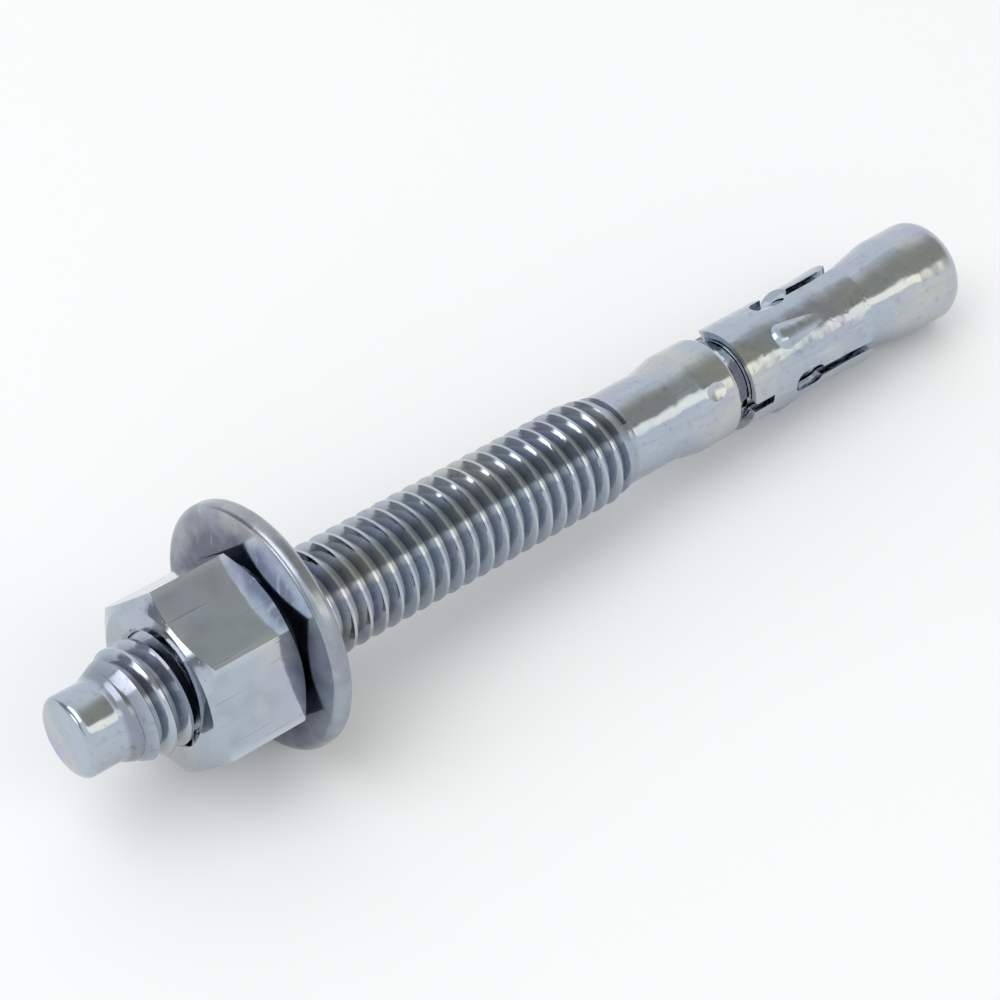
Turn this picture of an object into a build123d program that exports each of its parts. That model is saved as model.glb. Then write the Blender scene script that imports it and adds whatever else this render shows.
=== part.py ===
from build123d import *
from math import asin, atan2, cos, degrees, floor, hypot, radians, sin, tan
import os

# Wedge anchor for concrete, 3/8 in x 3-3/4 in, in millimetres: a stud with a rolled thread and a
# cone at its far end, a hex nut, a flat washer, and a clip of thin sheet rolled round the stud's
# neck. Hammered into a drilled hole and tightened, the stud's cone spreads the clip's three wings.
#
# Every piece is modelled about the stud's own axis: Z runs from the threaded tip (0) towards the
# cone, X is the side that lies uppermost, and angles turn right-handed about Z from X. lay_down()
# then puts the anchor on the floor, where it rests on the washer's rim and the cone's edge.

INCH = 25.4
START = (Align.CENTER, Align.CENTER, Align.MIN)
ALL_ROUND = (-180, 180)
NEAR = 0.01                     # places closer than this are the same

# Driving dimensions
NOMINAL_D = 3 / 8 * INCH        # thread, and the hole that the anchor is made for
LENGTH = 3.75 * INCH            # stud, end to end
PITCH = INCH / 16               # 16 threads to the inch
CLIP_T = 0.85                   # sheet that the clip is rolled from
CLIP_LENGTH = 15.0
NUT_START = 8.6                 # how far the nut is screwed on, from the tip

# Clearances
ROLLED_UNDER = 0.14             # crests are this much less than half the nominal size
THREAD_GAP = 0.12               # nut's flanks from the stud's, along the axis
MINOR_GAP = 0.18                # nut's crests from the stud's roots
MAJOR_GAP = 0.15                # nut's roots from the stud's crests
WASHER_GAP = 0.15               # nut to washer
HOLE_OVERSIZE = INCH / 16       # washer's hole over the nominal size
LIFT_GAP = 0.05                 # washer's hole to the thread it hangs on
CLIP_GAP = 0.10                 # clip to neck
CLIP_END_GAP = 0.3              # clip to collar
CLIP_TO_CONE = 0.74             # clip's end to the foot of the cone

# How far a cutter runs on past what it cuts
PAST = 1.0
PAST_ANGLE = 1.0

# Thread
FLANK = radians(30)
CREST_R = NOMINAL_D / 2 - ROLLED_UNDER
PITCH_LINE_R = CREST_R - 0.29 * PITCH
ROOT_R = CREST_R - 0.535 * PITCH
GROOVE_HALF = PITCH / 4
CUTTER_PROUD = 0.15             # how far the groove's cutter stands out of the crests
GROOVE_START = 2.218            # below the shoulder, so that the thread starts full depth
GROOVE_FADE = 2.2               # how far the groove runs into the run-out cone

# Stud, its far end first because that is where the clip has to fit
CONE_R = NOMINAL_D / 2 - 0.0625
CONE_ANGLE = radians(10.5)
CONE_LAND = 5.4
COLLAR_R = NOMINAL_D / 2 - 0.1625
NECK_R = COLLAR_R - CLIP_T - CLIP_GAP
SHANK_R = PITCH_LINE_R - 0.09
PILOT_R = ROOT_R - 0.39
COLLAR_LENGTH = 5.0
COLLAR_SLOPE = 2.5
COLLAR_BEVEL_LENGTH = 1.6
COLLAR_BEVEL_DEPTH = 0.75
SHANK_LENGTH = 5.3
RUNOUT_LENGTH = 2.8
PILOT_LENGTH = 3.0
SHOULDER_ANGLE = radians(24)
PILOT_ROUND = 0.6
PILOT_FILLET = 0.3
SHANK_BLEND = 1.5
COLLAR_BLEND = 1.0
BEVEL_ROUND = 0.6
NECK_FILLET = 0.15
CONE_BLEND = 3.0
CONE_ROUND = 1.4
DENT_R = 3.5                    # ball that presses the round dent in the collar
DENT_DEPTH = 0.16
DENT_ANGLE = 49
DENT_FROM = 1.3                 # dent's middle, from the collar's start

LAND_START = LENGTH - CONE_LAND
CONE_START = LAND_START - (CONE_R - NECK_R) / tan(CONE_ANGLE)
COLLAR_END = CONE_START - CLIP_TO_CONE - CLIP_LENGTH - CLIP_END_GAP
COLLAR_START = COLLAR_END - COLLAR_LENGTH
SHANK_END = COLLAR_START - COLLAR_SLOPE
RUNOUT_END = SHANK_END - SHANK_LENGTH
THREAD_END = RUNOUT_END - RUNOUT_LENGTH
SHOULDER_END = PILOT_LENGTH + (CREST_R - PILOT_R) / tan(SHOULDER_ANGLE)

# Nut: 9/16 in across flats less its rolling tolerance, and as high as the standard allows
NUT_AF = 9 / 16 * INCH - 0.18
NUT_HEIGHT = 0.337 * INCH
NUT_END = NUT_START + NUT_HEIGHT
NUT_FACE_R = 0.476 * NUT_AF     # flat face inside the chamfer
NUT_CHAMFER = radians(30)
NUT_MINOR_R = ROOT_R + MINOR_GAP
NUT_MAJOR_R = CREST_R + MAJOR_GAP
NUT_SINK_R = NUT_MAJOR_R + 0.2
NUT_CORNER_ANGLE = 45.5

# Washer
WASHER_R = 10.5
WASHER_T = 0.065 * INCH
WASHER_HOLE_R = (NOMINAL_D + HOLE_OVERSIZE) / 2
WASHER_ROUND = 0.6
HOLE_ROUND = 0.2
WASHER_START = NUT_END + WASHER_GAP
WASHER_LIFT = WASHER_HOLE_R - CREST_R - LIFT_GAP

# Clip
CLIP_START = COLLAR_END + CLIP_END_GAP
CLIP_END = CLIP_START + CLIP_LENGTH
CLIP_INNER_R = NECK_R + CLIP_GAP
CLIP_OUTER_R = CLIP_INNER_R + CLIP_T
SEAM_ANGLE = -19                # sheet's two ends, where they lie between two wings
SLOT_ANGLES = [92.5, 217]       # slots between the other wings
SLOT_HEAD_R = 1.0
SLOT_HEAD_FROM = 6.9            # slot's long round head, from the clip's collar side
SLOT_HEAD_LENGTH = 1.5
SLOT_WAIST = 1.05
SLOT_MOUTH = 0.8
NOTCH_WIDTH = 0.85
NOTCH_DEPTH = 2.35
BAND_ENDS = (-78, -50)          # sheet's two ends at the collar, under the wing beside the seam
STEP_FROM = 7.1                 # seam's step from the band to the wings
STEP_TO = 9.8
RIB_ANGLES = [31.5, 146, -112]
RIB_FROM = 5.1                  # rib's highest point, from the clip's collar side
RIB_LENGTH = 5.0
RIB_WIDTH = 2.2
RIB_HEIGHT = 0.45
FLARE = 0.15                    # wings' ends lean out by this
FLARE_LENGTH = 3.0
WING_ROUND = 0.6
BASE_ROUND = 0.3
BAND_END_ROUND = 1.5


def turned(outline):
    """Solid of revolution about Z from an outline of (radius, height, corner rounding)."""
    points = [(radius, height) for radius, height, _ in outline]
    roundings = [rounding for _, _, rounding in outline]
    section = make_face(FilletPolyline(*points, radius=roundings, close=True))
    return revolve(Plane.XZ * section, Axis.Z)


def threaded_rod(span, groove_span, root_r, crest_r, groove_half):
    """Right-hand threaded rod over span (from, to), with a groove of 30 degree flanks wound over
    groove_span. groove_half is half the groove's width at the pitch line."""
    cutter_r = crest_r + CUTTER_PROUD
    inner = groove_half + (root_r - PITCH_LINE_R) * tan(FLANK)
    outer = groove_half + (cutter_r - PITCH_LINE_R) * tan(FLANK)
    corners = [(root_r, -inner), (cutter_r, -outer), (cutter_r, outer), (root_r, inner)]
    section = Plane.XZ * make_face(Polyline(*corners, close=True))
    bottom, top = groove_span
    path = Helix(pitch=PITCH, height=top - bottom, radius=PITCH_LINE_R, center=(0, 0, bottom))
    groove = sweep(Pos(0, 0, bottom) * section, path=path, is_frenet=True)
    rod = Pos(0, 0, span[0]) * Cylinder(crest_r, span[1] - span[0], align=START)
    return rod - groove


def stud_bolt():
    """Rolled and turned stud: pilot, thread, plain shank, collar, neck and cone in one piece."""
    rod = threaded_rod(
        (0, RUNOUT_END + PITCH),
        (GROOVE_START, THREAD_END + GROOVE_FADE),
        ROOT_R,
        CREST_R,
        GROOVE_HALF,
    )
    runout_slope = (CREST_R - SHANK_R) / RUNOUT_LENGTH
    ends = turned([
        (0, 0, 0),
        (PILOT_R, 0, PILOT_ROUND),
        (PILOT_R, PILOT_LENGTH, PILOT_FILLET),
        (CREST_R + PITCH, SHOULDER_END + PITCH / tan(SHOULDER_ANGLE), 0),
        (CREST_R + PITCH, THREAD_END - PITCH / runout_slope, 0),
        (SHANK_R, RUNOUT_END, 0),
        (0, RUNOUT_END, 0),
    ])
    body = turned([
        (0, RUNOUT_END, 0),
        (SHANK_R, RUNOUT_END, 0),
        (SHANK_R, SHANK_END, SHANK_BLEND),
        (COLLAR_R, COLLAR_START, COLLAR_BLEND),
        (COLLAR_R, COLLAR_END - COLLAR_BEVEL_LENGTH, BEVEL_ROUND),
        (COLLAR_R - COLLAR_BEVEL_DEPTH, COLLAR_END, 0),
        (NECK_R, COLLAR_END, NECK_FILLET),
        (NECK_R, CONE_START, CONE_BLEND),
        (CONE_R, LAND_START, CONE_BLEND),
        (CONE_R, LENGTH, CONE_ROUND),
        (0, LENGTH, 0),
    ])
    ball = Pos(COLLAR_R + DENT_R - DENT_DEPTH, 0, COLLAR_START + DENT_FROM) * Sphere(DENT_R)
    return (rod & ends) + body - Rot(0, 0, DENT_ANGLE) * ball


def hex_nut():
    """Hex nut, chamfered on both faces, its thread in mesh with the stud's."""
    corner_r = NUT_AF / 2 / cos(FLANK)
    chamfer = (corner_r - NUT_FACE_R) * tan(NUT_CHAMFER)
    envelope = turned([
        (0, NUT_START, 0),
        (NUT_FACE_R, NUT_START, 0),
        (corner_r, NUT_START + chamfer, 0),
        (corner_r, NUT_END - chamfer, 0),
        (NUT_FACE_R, NUT_END, 0),
        (0, NUT_END, 0),
    ])
    hexagon = Rot(0, 0, NUT_CORNER_ANGLE) * RegularPolygon(NUT_AF / 2, 6, major_radius=False)
    body = Pos(0, 0, NUT_START) * extrude(hexagon, NUT_HEIGHT) & envelope
    sink = turned([
        (0, -PAST, 0),
        (NUT_SINK_R + PAST, -PAST, 0),
        (0, NUT_SINK_R, 0),
    ])
    body = body - Pos(0, 0, NUT_START) * sink - Pos(0, 0, NUT_END) * Rot(180, 0, 0) * sink
    first_turn = GROOVE_START + (floor((NUT_START - GROOVE_START) / PITCH) - 1) * PITCH
    tap = threaded_rod(
        (first_turn - PITCH, NUT_END + 2 * PITCH),
        (first_turn, NUT_END + PITCH),
        NUT_MINOR_R,
        NUT_MAJOR_R,
        GROOVE_HALF - THREAD_GAP,
    )
    return body - tap


def washer():
    """Flat washer with rounded rims. Its hole is wide, so it hangs on the thread off centre."""
    ring = extrude(Circle(WASHER_R) - Circle(WASHER_HOLE_R), WASHER_T)
    circles = ring.edges().filter_by(GeomType.CIRCLE)
    ring = fillet(circles.filter_by(lambda edge: edge.radius == WASHER_R), WASHER_ROUND)
    circles = ring.edges().filter_by(GeomType.CIRCLE)
    ring = fillet(circles.filter_by(lambda edge: edge.radius == WASHER_HOLE_R), HOLE_ROUND)
    return Pos(WASHER_LIFT, 0, WASHER_START) * ring


def through_sheet(outline, angle):
    """Prism that leaves the axis at angle. The outline's x runs along the axis from the clip's
    collar side, and its y round the clip."""
    facing = Plane(
        origin=(0, 0, CLIP_START),
        x_dir=(0, 0, 1),
        z_dir=(cos(radians(angle)), sin(radians(angle)), 0),
    )
    return extrude(facing * outline, CLIP_OUTER_R * 2)


def slot_outline():
    """Keyhole between two wings: a round head, then a slot that narrows to the clip's end."""
    head = Pos(SLOT_HEAD_FROM, 0) * SlotCenterToCenter(SLOT_HEAD_LENGTH, 2 * SLOT_HEAD_R)
    past_end = CLIP_LENGTH + PAST
    taper = make_face(Polyline(
        (SLOT_HEAD_FROM, -SLOT_WAIST / 2),
        (past_end, -SLOT_MOUTH / 2),
        (past_end, SLOT_MOUTH / 2),
        (SLOT_HEAD_FROM, SLOT_WAIST / 2),
        close=True,
    ))
    return head + taper


def rib(sunk):
    """Pear-shaped core of a pressed rib, its blunt end towards the collar. sunk is how far the
    surface lies inside the rib's outer skin."""
    skin_r = (RIB_WIDTH ** 2 / 4 + RIB_HEIGHT ** 2) / (2 * RIB_HEIGHT)
    axis_r = CLIP_OUTER_R + RIB_HEIGHT - skin_r
    blunt_r = skin_r - sunk
    thin_r = blunt_r - RIB_HEIGHT
    section = make_face(
        RadiusArc((0, -blunt_r), (blunt_r, 0), -blunt_r)
        + Polyline((blunt_r, 0), (thin_r, RIB_LENGTH), (0, RIB_LENGTH), (0, -blunt_r))
    )
    pear = revolve(Plane.XZ * section, Axis.Z)
    return Pos(axis_r, 0, CLIP_START + RIB_FROM) * pear


def sheet_sector(outline, angles):
    """Part of a ring: an outline of (radius, height from the clip's collar side) turned about Z
    between two angles."""
    section = Plane.XZ * Pos(0, CLIP_START) * make_face(Polyline(*outline, close=True))
    start, end = angles
    return revolve(Rot(0, 0, start) * section, Axis.Z, end - start)


def rolled_sheet():
    """Whole ring of sheet, leaning outwards at its wings' end."""
    bend = CLIP_LENGTH - FLARE_LENGTH
    profile = [
        (CLIP_INNER_R, 0),
        (CLIP_OUTER_R, 0),
        (CLIP_OUTER_R, bend),
        (CLIP_OUTER_R + FLARE, CLIP_LENGTH),
        (CLIP_INNER_R + FLARE, CLIP_LENGTH),
        (CLIP_INNER_R, bend),
    ]
    return sheet_sector(profile, (0, 360))


def seam():
    """Gap between the sheet's two ends: along the band, across under one wing, then on between
    two wings like a slot."""
    low, high = CLIP_INNER_R / 2, CLIP_OUTER_R * 2
    band = [(low, -PAST), (high, -PAST), (high, STEP_TO), (low, STEP_TO)]
    step = [(low, STEP_FROM), (high, STEP_FROM), (high, STEP_TO), (low, STEP_TO)]
    across = sheet_sector(step, (BAND_ENDS[1] - PAST_ANGLE, SEAM_ANGLE))
    return sheet_sector(band, BAND_ENDS) + across


def expansion_clip():
    """Stamped sheet rolled into a ring: a band at the collar, then three wings, each with a
    pressed rib. The seam has a step, so one wing reaches over the band's other end."""
    sheet = rolled_sheet()
    inside = Pos(0, 0, CLIP_START) * Cylinder(CLIP_INNER_R + CLIP_T / 2, CLIP_LENGTH, align=START)
    for angle in RIB_ANGLES:
        turn = Rot(0, 0, angle)
        sheet = sheet + turn * (rib(0) - inside) - turn * rib(CLIP_T)
    notch = Rectangle(2 * NOTCH_DEPTH, NOTCH_WIDTH)
    for angle in SLOT_ANGLES:
        sheet = sheet - through_sheet(slot_outline(), angle) - through_sheet(notch, angle)
    sheet = sheet - seam() - through_sheet(slot_outline(), SEAM_ANGLE)
    sheet = fillet(corner_edges(sheet, CLIP_END, ALL_ROUND), WING_ROUND)
    sheet = fillet(corner_edges(sheet, CLIP_START, BAND_ENDS), BAND_END_ROUND)
    return fillet(corner_edges(sheet, CLIP_START, ALL_ROUND), BASE_ROUND)


def corner_edges(sheet, height, angles):
    """Straight edges through the sheet's thickness at one height, between two angles about Z."""
    straight = sheet.edges().filter_by(GeomType.LINE)
    level = [edge for edge in straight if abs(edge.center().Z - height) < NEAR]
    through = [edge for edge in level if abs((edge % 0).Z) < NEAR]
    low, high = angles[0] - PAST_ANGLE, angles[1] + PAST_ANGLE
    return [edge for edge in through if low < degrees(atan2(edge.center().Y, edge.center().X)) < high]


def lay_down():
    """Where the anchor's own axes go on the floor: it rests on the washer's rim and the cone's
    edge, with its length along X and the middle of its box over the origin."""
    rim = (WASHER_START + WASHER_T - WASHER_ROUND, WASHER_LIFT - (WASHER_R - WASHER_ROUND))
    heel = (LENGTH - CONE_ROUND, -(CONE_R - CONE_ROUND))
    run, rise = heel[0] - rim[0], heel[1] - rim[1]
    tilt = atan2(rise, run) + asin((WASHER_ROUND - CONE_ROUND) / hypot(run, rise))
    height = WASHER_ROUND + rim[0] * sin(tilt) - rim[1] * cos(tilt)
    tip_x = PILOT_ROUND * cos(tilt) - (PILOT_R - PILOT_ROUND) * sin(tilt) - PILOT_ROUND
    cone_x = heel[0] * cos(tilt) - heel[1] * sin(tilt) + CONE_ROUND
    return Plane(
        origin=(-(tip_x + cone_x) / 2, 0, height),
        x_dir=(sin(tilt), 0, cos(tilt)),
        z_dir=(cos(tilt), 0, -sin(tilt)),
    )


pieces = {
    "stud_bolt": stud_bolt(),
    "hex_nut": hex_nut(),
    "washer": washer(),
    "expansion_clip": expansion_clip(),
}
floor_place = lay_down().location
os.makedirs("parts", exist_ok=True)
for name, piece in pieces.items():
    export_step(floor_place * piece, f"parts/{name}.step")
    print(name, round(piece.volume, 1), "mm3")
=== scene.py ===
# %% [markdown]
# A wedge anchor, finished in zinc
#
# A wedge anchor is a steel bolt that holds itself in a drilled hole. The rod is cold headed
# and its thread is rolled. A clip of thin sheet is wrapped round a narrow neck at the far
# end, and a cone behind it spreads the clip when the nut is tightened. All four pieces are
# plated with bright zinc, which is nearly a mirror with a cold blue tone.
#
# The shapes could be modelled again here, but the CAD model already has them, thread and
# all, so this lesson loads them as they are. It gives each piece its plated finish from
# nodes alone, and then builds a small studio whose bright and dark areas are what the metal
# shows us. A mirror has no colour of its own, so most of the work is there.

import math

import bpy
from mathutils import Matrix, Vector

MM = 1000.0  # millimetres in a metre

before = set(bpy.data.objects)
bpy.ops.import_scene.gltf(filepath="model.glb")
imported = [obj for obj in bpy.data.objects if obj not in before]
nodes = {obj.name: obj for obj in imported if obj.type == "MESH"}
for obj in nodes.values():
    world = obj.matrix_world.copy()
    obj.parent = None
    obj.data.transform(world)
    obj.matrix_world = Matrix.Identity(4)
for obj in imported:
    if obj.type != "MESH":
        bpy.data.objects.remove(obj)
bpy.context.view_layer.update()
print("pieces:", sorted(nodes))

# %% [markdown]
# The bolt's own line
#
# The anchor lies on its side, resting on the washer and on its far end. The washer is the
# wider of the two, so the axis leans a little. The finishes need to know how far along the
# bolt a point is. A piece's bounding box could tell, but it follows the world's axes and the
# bolt doesn't, so we write the bolt's own axis down once, in metres.

# %% The axis of the bolt, as an origin and three directions
LEAN = math.radians(3.72486)
TIP = Vector((-0.0475420, 0.0, 0.0107900))
ALONG = Vector((math.cos(LEAN), 0.0, -math.sin(LEAN)))
UP = Vector((math.sin(LEAN), 0.0, math.cos(LEAN)))
SIDE = ALONG.cross(UP)
print("along", [round(v, 4) for v in ALONG], "up", [round(v, 4) for v in UP])

# %% [markdown]
# Shader maths as plain Python
#
# A finish is a graph of nodes. It could be drawn link by link, but that is long and hard to
# read. Instead a small class wraps a node's output socket. Adding two wrapped sockets makes
# a Math node, a wrapped mask blends two colours through a Mix node, and any other node comes
# from one method. The formulas below then read as formulas.


# %% A socket that can be added, multiplied and blended
class Wire:
    """One output socket of a node tree, which can be used in an expression."""

    def __init__(self, tree, socket=None):
        self.tree = tree
        self.socket = socket

    def node(self, kind, settings=None, out=0, **inputs):
        """A new node of this kind, with its settings first and then its inputs.

        An input is a value or a wire. It goes by its name, with _ for a space, or by its
        number, as i0 or i1. The wire of output number out comes back, if there is one.
        """
        made = self.tree.nodes.new(kind)
        for name, value in (settings or {}).items():
            setattr(made, name, value)
        for name, value in inputs.items():
            key = int(name[1:]) if name[1:].isdigit() else name.replace("_", " ")
            if isinstance(value, Wire):
                self.tree.links.new(value.socket, made.inputs[key])
            else:
                made.inputs[key].default_value = value
        return Wire(self.tree, made.outputs[out]) if made.outputs else None

    def maths(self, operation, *values):
        inputs = {f"i{number}": value for number, value in enumerate(values)}
        return self.node("ShaderNodeMath", {"operation": operation}, **inputs)

    def __add__(self, other):
        return self.maths("ADD", self, other)

    def __radd__(self, other):
        return self.maths("ADD", other, self)

    def __sub__(self, other):
        return self.maths("SUBTRACT", self, other)

    def __rsub__(self, other):
        return self.maths("SUBTRACT", other, self)

    def __mul__(self, other):
        return self.maths("MULTIPLY", self, other)

    def __rmul__(self, other):
        return self.maths("MULTIPLY", other, self)

    def dot(self, vector):
        """How far this place or direction reaches along a fixed vector."""
        return self.node(
            "ShaderNodeVectorMath", {"operation": "DOT_PRODUCT"}, 1, i0=self, i1=vector
        )

    def between(self, low, high):
        """0 below low, 1 above high and smooth between them."""
        return self.node(
            "ShaderNodeMapRange",
            {"interpolation_type": "SMOOTHSTEP"},
            Value=self,
            From_Min=low,
            From_Max=high,
        )

    def blend(self, under, over):
        """The colour under where this wire is 0, and the colour over where it is 1."""
        # A Mix node's inputs 6 and 7 and its output 2 are the ones for colours.
        return self.node(
            "ShaderNodeMix",
            {"data_type": "RGBA", "clamp_factor": True},
            2,
            i0=self,
            i6=under,
            i7=over,
        )


print("a Wire adds, subtracts, multiplies and blends")

# %% [markdown]
# Where a point is on the bolt
#
# The marks that rolling, drawing and shearing leave follow the bolt and not the world, so
# every finish starts from the same four numbers: the distance from the tip along the axis,
# the two distances across it, and the radius. They could come from a texture map, but these
# shapes have none. A CAD object sits at the origin, so its object coordinates are its place
# at rest, and the marks stay on a piece when it moves.

# %% Distances along and across the bolt, in millimetres
OBJECT_PLACE = 3  # the coordinate node's output for object coordinates


def start(name):
    """A new empty material, and a wire to begin expressions with."""
    made = bpy.data.materials.new(name)
    made.use_nodes = True
    made.node_tree.nodes.clear()
    return made, Wire(made.node_tree)


def bolt_place(begin):
    """Wires for the place along the bolt, up, sideways, and away from the axis."""
    point = begin.node("ShaderNodeTexCoord", out=OBJECT_PLACE)
    moved = begin.node("ShaderNodeVectorMath", {"operation": "SUBTRACT"}, i0=point, i1=TIP)
    along, up, side = (moved.dot(MM * way) for way in (ALONG, UP, SIDE))
    radius = up.maths("SQRT", up * up + side * side)
    return along, up, side, radius


print("the tip is at", [round(MM * v, 2) for v in TIP], "mm")

# %% [markdown]
# Bright zinc
#
# Electroplated zinc is a thin bright layer with a clear bluish passivation over it. It is a
# metal, so all its colour is in the reflection: a cold white, in places a little yellow or
# violet where the clear layer is thicker. It is nearly as smooth as the steel beneath, so
# the marks that show are the steel's own. A picture of zinc could be wrapped round each
# piece, but noise has no seam and no end. One function lays the plating on, and each piece
# says which marks its forming left and where shade is painted on: their height in
# millimetres, where the plating is dull and where it is painted darker as shade, where
# handling has rubbed it bright, and how much rougher it is. Each kind of noise is written
# down with its numbers by name: scale is how many clouds there are to a millimetre, detail
# how ragged they are, stretch how much faster they change along three ways, and low and
# high are the values between which a cloud becomes a patch.

# %% The plating itself
ZINC_COLD = (0.42, 0.475, 0.55, 1.0)
ZINC_WARM = (0.51, 0.525, 0.52, 1.0)
ZINC_VIOLET = (0.435, 0.46, 0.55, 1.0)
ZINC_BRIGHT = (0.64, 0.67, 0.70, 1.0)
# Dull zinc, which also stands as painted shade in the rod's recesses and on the washer.
ZINC_DULL_AND_SHADE = (0.13, 0.145, 0.19, 1.0)
WARM = dict(scale=0.13, detail=3.0, low=0.42, high=0.68)
VIOLET = dict(scale=0.21, detail=2.0, low=0.5, high=0.7)
HAZE = dict(scale=0.9, detail=4.0, low=0.4, high=0.75)
HAZE_ROUGHER = 0.05


def cloud(begin, ways, scale, detail, stretch=(1, 1, 1)):
    """Soft noise along three ways, changing faster along those whose stretch is above 1."""
    x, y, z = (way if rate == 1 else way * rate for way, rate in zip(ways, stretch))
    vector = begin.node("ShaderNodeCombineXYZ", i0=x, i1=y, i2=z)
    return begin.node("ShaderNodeTexNoise", Vector=vector, Scale=scale, Detail=detail)


def patches(begin, ways, low, high, **noise):
    """A cloud's thickest parts: 0 where it is below low, 1 above high, smooth between."""
    return cloud(begin, ways, **noise).between(low, high)


def plating(name, marks, roughness):
    """Zinc over one piece, whose marks(begin, place) gives height, dull and painted shade,
    bright and rough.
    """
    made, begin = start(name)
    place = bolt_place(begin)
    along, up, side, _ = place
    warm = patches(begin, (along, up, side), **WARM)
    violet = patches(begin, (side, along, up), **VIOLET)
    height, dull_and_shade, bright, rough = marks(begin, place)
    clean = violet.blend(warm.blend(ZINC_COLD, ZINC_WARM), ZINC_VIOLET)
    # This darker zinc is dull plating, and painted shade where a piece's marks paint shade.
    colour = bright.blend(dull_and_shade.blend(clean, ZINC_DULL_AND_SHADE), ZINC_BRIGHT)
    haze = patches(begin, (along, up, side), **HAZE)
    metal = begin.node(
        "ShaderNodeBsdfPrincipled",
        Base_Color=colour,
        Metallic=1.0,
        Roughness=rough + haze * HAZE_ROUGHER + roughness,
        Normal=begin.node("ShaderNodeBump", Strength=1.0, Distance=1 / MM, Height=height),
    )
    begin.node("ShaderNodeOutputMaterial", Surface=metal)
    return made


print("cold zinc", ZINC_COLD[:3], "warm zinc", ZINC_WARM[:3])

# %% [markdown]
# The rod
#
# Its thread is rolled, which leaves fine lines along the helix and a clean crest that the
# nut rubs bright. The plain shank, collar and cone are forged: they are a little uneven, and
# keep faint drawing lines along the rod and scuffs from the plating barrel. The recesses
# between the threads are painted darker, as shade, and are a little rougher, and small dull
# specks lie everywhere, where the plating is thin. The very tip is a little rougher, because
# it is where a hammer strikes. All of this could be painted by hand. Noise that is stretched
# one way gives lines without that, and a mask of the distance along the rod keeps each kind
# of mark to its own part.

# %% Marks of the rod
THREAD_FROM, THREAD_TO = 3.0, 55.4  # from the tip
RUN_IN, RUN_OUT, STRUCK_END = 0.5, 1.0, 0.5
ROOT_RADIUS, CREST_RADIUS, CREST_BAND = 3.79, 4.62, 0.1
DRAWN = dict(scale=1.0, detail=2.0, stretch=(0.12, 2.2, 2.2))
ROLLED = dict(scale=1.0, detail=2.0, stretch=(5.0, 0.35, 0.35))
PEEL = dict(scale=0.5, detail=1.5)
FORGED = dict(scale=0.28, detail=1.0)
ROD_SPECKS = dict(scale=1.6, detail=3.0, low=0.56, high=0.72)
ROD_SCUFFS = dict(scale=1.0, detail=2.0, stretch=(0.25, 2.5, 2.5), low=0.62, high=0.72)
PEEL_HEIGHT, PEEL_ON_PLAIN, FORGED_HEIGHT, LINE_HEIGHT = 0.02, 0.03, 0.15, 0.006
# The first number darkens the thread's recesses, as painted shade.
RECESS_PAINTED_SHADE, SPECK_DULL, CREST_BRIGHT, SCUFF_BRIGHT = 0.5, 0.22, 0.12, 0.25
RECESS_ROUGHER, STRUCK_ROUGHER, ROD_ROUGHNESS = 0.12, 0.06, 0.07


def rod_marks(begin, place):
    along, up, side, radius = place
    ways = along, up, side
    threaded = along.between(THREAD_FROM, THREAD_FROM + RUN_IN) * (
        1 - along.between(THREAD_TO - RUN_OUT, THREAD_TO)
    )
    depth = 1 - radius.between(ROOT_RADIUS, CREST_RADIUS)
    drawn = cloud(begin, ways, **DRAWN)
    rolled = cloud(begin, ways, **ROLLED)
    peel = cloud(begin, ways, **PEEL)
    forged = cloud(begin, ways, **FORGED)
    plain = 1 - threaded
    height = peel * (PEEL_HEIGHT + plain * PEEL_ON_PLAIN) + forged * plain * FORGED_HEIGHT
    height = height + (drawn * plain + rolled * threaded) * LINE_HEIGHT
    # Painted shade in the thread's recesses, and dull specks where the plating is thin.
    dull_and_shade = threaded * depth * RECESS_PAINTED_SHADE + patches(begin, ways, **ROD_SPECKS) * SPECK_DULL
    crest = threaded * radius.between(CREST_RADIUS - CREST_BAND, CREST_RADIUS)
    struck = 1 - along.between(0.0, STRUCK_END)
    scuffs = patches(begin, ways, **ROD_SCUFFS)
    bright = crest * CREST_BRIGHT + scuffs * plain * SCUFF_BRIGHT
    rough = threaded * depth * RECESS_ROUGHER + struck * STRUCK_ROUGHER
    return height, dull_and_shade, bright, rough


stud_finish = plating("rod zinc", rod_marks, ROD_ROUGHNESS)
print("rod finish has", len(stud_finish.node_tree.nodes), "nodes")

# %% [markdown]
# The nut
#
# A cold formed nut has flats that are nearly true, with a slight waviness from the die and
# a few scratches along the bolt, where it slid out of it. Its six corners have knocked
# against other nuts and are rubbed bright. The corners could be found from the edges of the
# mesh, but they are also just the places that are furthest from the axis, which is simpler.

# %% Marks of the nut
WORN_FROM, WORN_TO = 7.7, 8.1  # radii
NUT_WAVE = dict(scale=0.35, detail=2.0)
NUT_GRAIN = dict(scale=1.0, detail=3.0, stretch=(0.6, 3.0, 3.0))
NUT_SCRATCHES = dict(scale=1.0, detail=1.0, stretch=(0.12, 3.5, 3.5), low=0.66, high=0.72)
NUT_WAVE_HEIGHT, GRAIN_HEIGHT, SCRATCH_DEPTH = 0.03, 0.003, 0.004
NUT_WAVE_TOPS, NUT_WAVE_DULL, SCRATCH_DULL = (0.45, 0.75), 0.2, 0.25
CORNER_BRIGHT, GRAIN_ROUGHER, NUT_ROUGHNESS = 0.4, 0.05, 0.05


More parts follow.
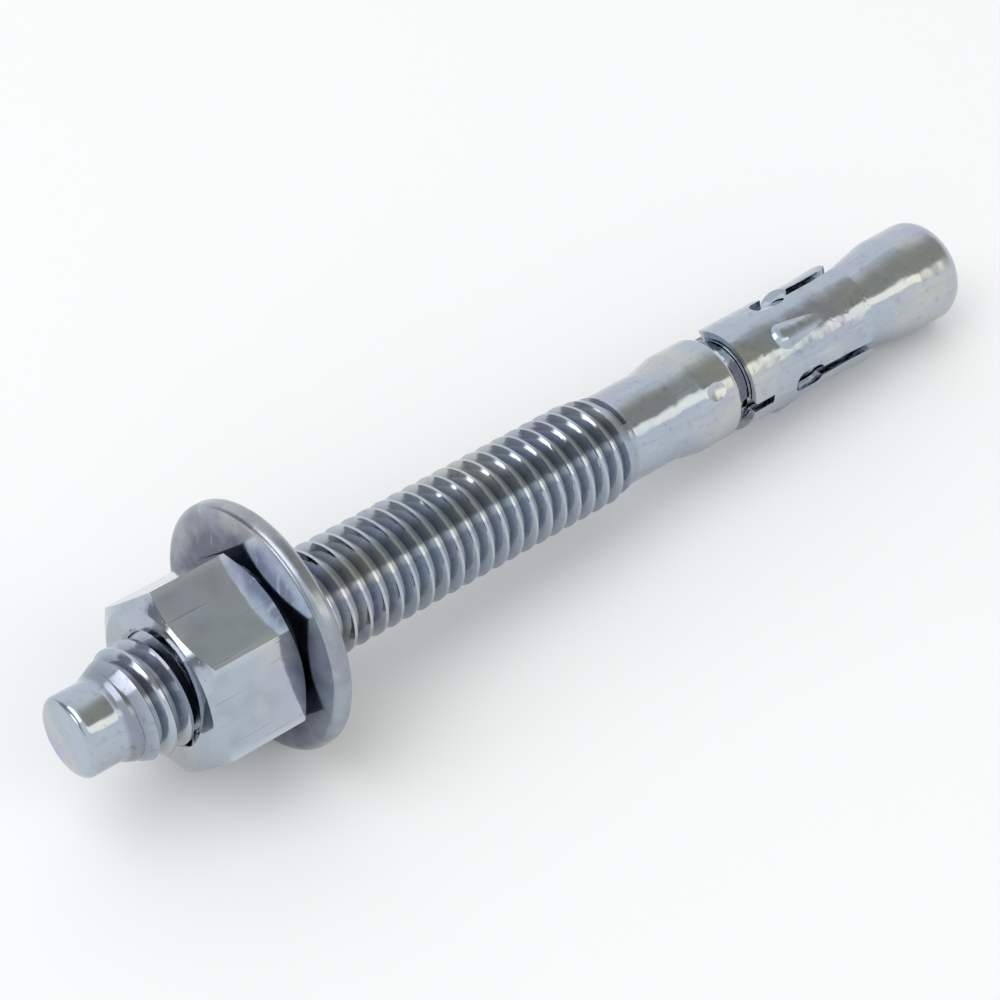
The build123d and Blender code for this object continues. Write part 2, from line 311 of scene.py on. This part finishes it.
def nut_marks(begin, place):
    along, up, side, radius = place
    ways = along, up, side
    wave = cloud(begin, ways, **NUT_WAVE)
    grain = cloud(begin, ways, **NUT_GRAIN)
    scratch = patches(begin, ways, **NUT_SCRATCHES)
    corner = radius.between(WORN_FROM, WORN_TO)
    height = wave * NUT_WAVE_HEIGHT + grain * GRAIN_HEIGHT - scratch * SCRATCH_DEPTH
    dull_and_shade = wave.between(*NUT_WAVE_TOPS) * NUT_WAVE_DULL + scratch * SCRATCH_DULL
    return height, dull_and_shade, corner * CORNER_BRIGHT, grain * GRAIN_ROUGHER


nut_finish = plating("nut zinc", nut_marks, NUT_ROUGHNESS)
print("nut finish has", len(nut_finish.node_tree.nodes), "nodes")

# %% [markdown]
# The washer
#
# It is stamped from sheet that was rolled flat, so its face has fine lines in one direction,
# and the sheared rim is rougher than the face. Its whole face is darker than the other
# pieces, partly because its plating is duller and partly as painted shade of the shadowed
# floor it mirrors. It has dull blotches, and near the hole a painted shade of the nut. The
# ring could be a piece of mesh with a finish of its own. A mask of the distance from the
# washer's own centre does as well and can fade. That centre isn't on the bolt's axis,
# because the hole is wider than the thread.

# %% Marks of the washer
WASHER_LIFT = 0.884  # the bolt rests in the hole, so the centre is this far above its axis
# The first two radii bound the painted shade of the nut near the hole.
NUT_SHADE_FROM, NUT_SHADE_TO, RIM_FROM, RIM_TO = 7.6, 9.6, 9.6, 10.2  # radii
SHEET_LINES = dict(scale=1.0, detail=3.0, stretch=(1, 0.25, 4.0))
WASHER_WAVE = dict(scale=0.25, detail=2.0)
WASHER_BLOTCHES = dict(scale=0.45, detail=3.0, low=0.35, high=0.7)
WASHER_SCUFFS = dict(scale=1.0, detail=2.0, stretch=(1, 0.5, 2.0), low=0.6, high=0.75)
WASHER_WAVE_HEIGHT, SHEET_LINE_HEIGHT = 0.05, 0.003
# The nut's painted shade near the hole, dull blotches, and a darkening all over that is part
# duller plating and part painted shade of the shadowed floor the face mirrors.
NUT_PAINTED_SHADE, BLOTCH_DULL, DULL_AND_SHADE_ALL_OVER = 0.5, 0.3, 0.36
WASHER_SCUFF_BRIGHT, RIM_BRIGHT = 0.2, 0.15
RIM_ROUGHER, SHEET_LINE_ROUGHER, WASHER_ROUGHNESS = 0.08, 0.03, 0.13


def washer_marks(begin, place):
    along, up, side, _ = place
    ways = along, up, side
    lines = cloud(begin, ways, **SHEET_LINES)
    wave = cloud(begin, ways, **WASHER_WAVE)
    own_up = up - WASHER_LIFT
    own_radius = up.maths("SQRT", own_up * own_up + side * side)
    rim = own_radius.between(RIM_FROM, RIM_TO)
    # Painted shade of the nut, darkest near the hole.
    nut_painted_shade = 1 - own_radius.between(NUT_SHADE_FROM, NUT_SHADE_TO)
    blotch = patches(begin, ways, **WASHER_BLOTCHES)
    scuffs = patches(begin, ways, **WASHER_SCUFFS)
    height = wave * WASHER_WAVE_HEIGHT + lines * SHEET_LINE_HEIGHT
    # Painted shade of the nut, dull blotches, and an all-over darkening: part duller plating,
    # part painted shade.
    dull_and_shade = nut_painted_shade * NUT_PAINTED_SHADE + blotch * BLOTCH_DULL + DULL_AND_SHADE_ALL_OVER
    bright = scuffs * WASHER_SCUFF_BRIGHT + rim * RIM_BRIGHT
    return height, dull_and_shade, bright, rim * RIM_ROUGHER + lines * SHEET_LINE_ROUGHER


washer_finish = plating("washer zinc", washer_marks, WASHER_ROUGHNESS)
print("washer finish has", len(washer_finish.node_tree.nodes), "nodes")

# %% [markdown]
# The expansion clip
#
# It is thin sheet, stamped and rolled round the neck, so it keeps fine lines round the bolt
# and a hammered unevenness, with small pits and some scuffs along it. The unevenness could
# be cut into the mesh, but it is hundredths of a millimetre deep, so a bump is enough.

# %% Marks of the clip
CLIP_LINES = dict(scale=1.0, detail=3.0, stretch=(3.5, 0.3, 0.3))
CLIP_WAVE = dict(scale=0.45, detail=1.5)
CLIP_PITS = dict(scale=1.3, detail=3.0, low=0.58, high=0.72)
CLIP_SCUFFS = dict(scale=1.0, detail=2.0, stretch=(0.3, 2.0, 2.0), low=0.6, high=0.72)
CLIP_WAVE_HEIGHT, CLIP_LINE_HEIGHT, PIT_DEPTH = 0.14, 0.003, 0.006
CLIP_WAVE_TOPS, CLIP_WAVE_DULL, PIT_DULL = (0.5, 0.8), 0.25, 0.2
CLIP_SCUFF_BRIGHT, CLIP_LINE_ROUGHER, CLIP_ROUGHNESS = 0.3, 0.04, 0.07


def clip_marks(begin, place):
    along, up, side, _ = place
    ways = along, up, side
    lines = cloud(begin, ways, **CLIP_LINES)
    wave = cloud(begin, ways, **CLIP_WAVE)
    pits = patches(begin, ways, **CLIP_PITS)
    height = wave * CLIP_WAVE_HEIGHT + lines * CLIP_LINE_HEIGHT - pits * PIT_DEPTH
    dull_and_shade = wave.between(*CLIP_WAVE_TOPS) * CLIP_WAVE_DULL + pits * PIT_DULL
    scuffs = patches(begin, ways, **CLIP_SCUFFS)
    return height, dull_and_shade, scuffs * CLIP_SCUFF_BRIGHT, lines * CLIP_LINE_ROUGHER


clip_finish = plating("clip zinc", clip_marks, CLIP_ROUGHNESS)
print("clip finish has", len(clip_finish.node_tree.nodes), "nodes")

# %% [markdown]
# Each piece in its own finish
#
# Real anchors are plated before they are put together, so each piece is one finish all over.
# A mask could choose the finish by place, but a piece has one material slot, and filling it
# is all that is needed.

# %% Give each piece its finish
for node, finish in {
    "stud_bolt": stud_finish,
    "hex_nut": nut_finish,
    "washer": washer_finish,
    "expansion_clip": clip_finish,
}.items():
    nodes[node].data.materials[0] = finish
    print(node, "wears", finish.name)

# %% [markdown]
# The floor
#
# A mirror shows its surroundings, so the floor matters twice: once as the ground the anchor
# lies on, and once in the lower half of every curved surface. It could be a sheet curved up
# into a backdrop, but the camera looks down and never sees its end, so a wide flat sheet of
# pale paper does.

# %% A wide pale floor
FLOOR_HALF = 3.0
PAPER = (0.95, 0.955, 0.96, 1.0)
sheet = bpy.data.meshes.new("floor")
square = ((-1, -1), (1, -1), (1, 1), (-1, 1))
corners = [(x * FLOOR_HALF, y * FLOOR_HALF, 0.0) for x, y in square]
sheet.from_pydata(corners, [], [(0, 1, 2, 3)])
floor = bpy.data.objects.new("floor", sheet)
bpy.context.scene.collection.objects.link(floor)
paper, blank = start("floor paper")
matt = blank.node(
    "ShaderNodeBsdfPrincipled", Base_Color=PAPER, Roughness=0.9, Specular_IOR_Level=0.1
)
blank.node("ShaderNodeOutputMaterial", Surface=matt)
floor.data.materials.append(paper)
print("the floor is", 2 * FLOOR_HALF, "m wide")

# %% [markdown]
# The studio round it
#
# Real studios light bright metal with large pale areas and leave others dim, because the
# contrast between them is what makes it look like metal. The world here is that studio. It
# could be a room of lamps and cards, but a mirror only sees directions, so each area is a
# mask of a direction. The room is pale, with a shaded part in its ceiling that gives the rod
# its dark band. A long cream window draws the light strip along the rod. The wall beyond the
# tip is dim, and a small bright window in it puts the slanted glints on the thread. The
# directions were found by asking which way each part of the metal looks.

# %% The world as soft bright and dark directions
DIRECTION = 0  # the coordinate node's output that is a direction, in a world
ROOM = (0.95, 0.97, 1.0, 1.0)
SHADED = (0.42, 0.42, 0.36, 1.0)
CREAM_LIGHT = (1.6, 1.54, 1.35, 1.0)
DIM_WALL = (0.30, 0.32, 0.35, 1.0)
WINDOW_LIGHT = (3.0, 3.0, 3.0, 1.0)
SHADED_CEILING = dict(way=(0.586, -0.268, 0.765), near=8, far=46)
LONG_WINDOW = dict(
    way=(0.302, -0.727, 0.617), across=(-0.216, -0.682, -0.699), half=12, near=20, far=33
)
TIP_WALL = dict(way=(-0.85, 0.45, 0.15), near=20, far=55)
SMALL_WINDOW = dict(way=(-0.93, 0.29, 0.21), near=7, far=14)
EVEN_PART = 0.45  # the part of the long window's half width that is evenly bright

world = bpy.data.worlds.new("studio")
bpy.context.scene.world = world
world.use_nodes = True
world.node_tree.nodes.clear()
sky = Wire(world.node_tree)
look = sky.node("ShaderNodeTexCoord", out=DIRECTION)


def towards(way, near, far):
    """1 for directions within near degrees of way, 0 beyond far degrees, smooth between."""
    near, far = math.cos(math.radians(near)), math.cos(math.radians(far))
    return look.dot(Vector(way).normalized()).between(far, near)


def strip(way, across, half, near, far):
    """The same, but narrow: at most half degrees from way, measured towards across."""
    off = look.dot(Vector(across).normalized())
    edge = math.sin(math.radians(half))
    beside = off.maths("ABSOLUTE", off).between(EVEN_PART * edge, edge)
    return towards(way, near, far) * (1 - beside)


shade = sky.node("ShaderNodeRGB")
shade.socket.default_value = ROOM
shade = towards(**SHADED_CEILING).blend(shade, SHADED)
shade = strip(**LONG_WINDOW).blend(shade, CREAM_LIGHT)
shade = towards(**TIP_WALL).blend(shade, DIM_WALL)
shade = towards(**SMALL_WINDOW).blend(shade, WINDOW_LIGHT)
background = sky.node("ShaderNodeBackground", Color=shade, Strength=1.0)
sky.node("ShaderNodeOutputWorld", Surface=background)
print("room colour", ROOM[:3])

# %% [markdown]
# A lamp for the shadow
#
# A pale room lights everything from all sides, so the shadow under the anchor is faint. A
# real studio adds a soft box, a lamp behind a square of white cloth. It could be one more
# bright direction of the world, but a lamp with a size and a place is easier to move and to
# dim. It hangs over the tip's side, where the nut's far chamfer and the washer mirror it. It
# is large and not very bright, so that a flat that mirrors it stays below white.

# %% A soft box overhead
lamp = bpy.data.lights.new("overhead soft box", "AREA")
lamp.shape = "SQUARE"
lamp.size = 0.46  # metres
lamp.energy = 0.95  # watts
box = bpy.data.objects.new("overhead soft box", lamp)
box.location = (-0.298, 0.074, 0.539)
box.rotation_mode = "QUATERNION"
box.rotation_quaternion = box.location.to_track_quat("Z", "Y")
bpy.context.scene.collection.objects.link(box)
print("the soft box is", round(box.location.length, 2), "m away")

# %% [markdown]
# The camera
#
# The whole bolt is seen from above and to one side, the tip nearest. A wide lens could
# stand close, but it would make the near end swell, so a long lens stands back. Its turn is
# written as the directions that are right and down in the picture, which is easier to fit
# than three angles.

# %% A long lens, looking down along the bolt
EYE = Vector((-0.1237018, -0.1306510, 0.1744151))
RIGHT = Vector((0.742117, -0.670294, 0.005617))
DOWN = Vector((-0.456118, -0.511159, -0.728541))
lens = bpy.data.cameras.new("camera")
lens.sensor_width = 36.0
lens.lens = 107.392
camera = bpy.data.objects.new("camera", lens)
bpy.context.scene.collection.objects.link(camera)
turn = Matrix((RIGHT, -DOWN, -RIGHT.cross(DOWN))).transposed()
camera.matrix_world = Matrix.Translation(EYE) @ turn.to_4x4()
bpy.context.scene.camera = camera
bpy.context.scene.view_settings.view_transform = "Standard"
print("the camera is", round(EYE.length, 3), "m from the middle")
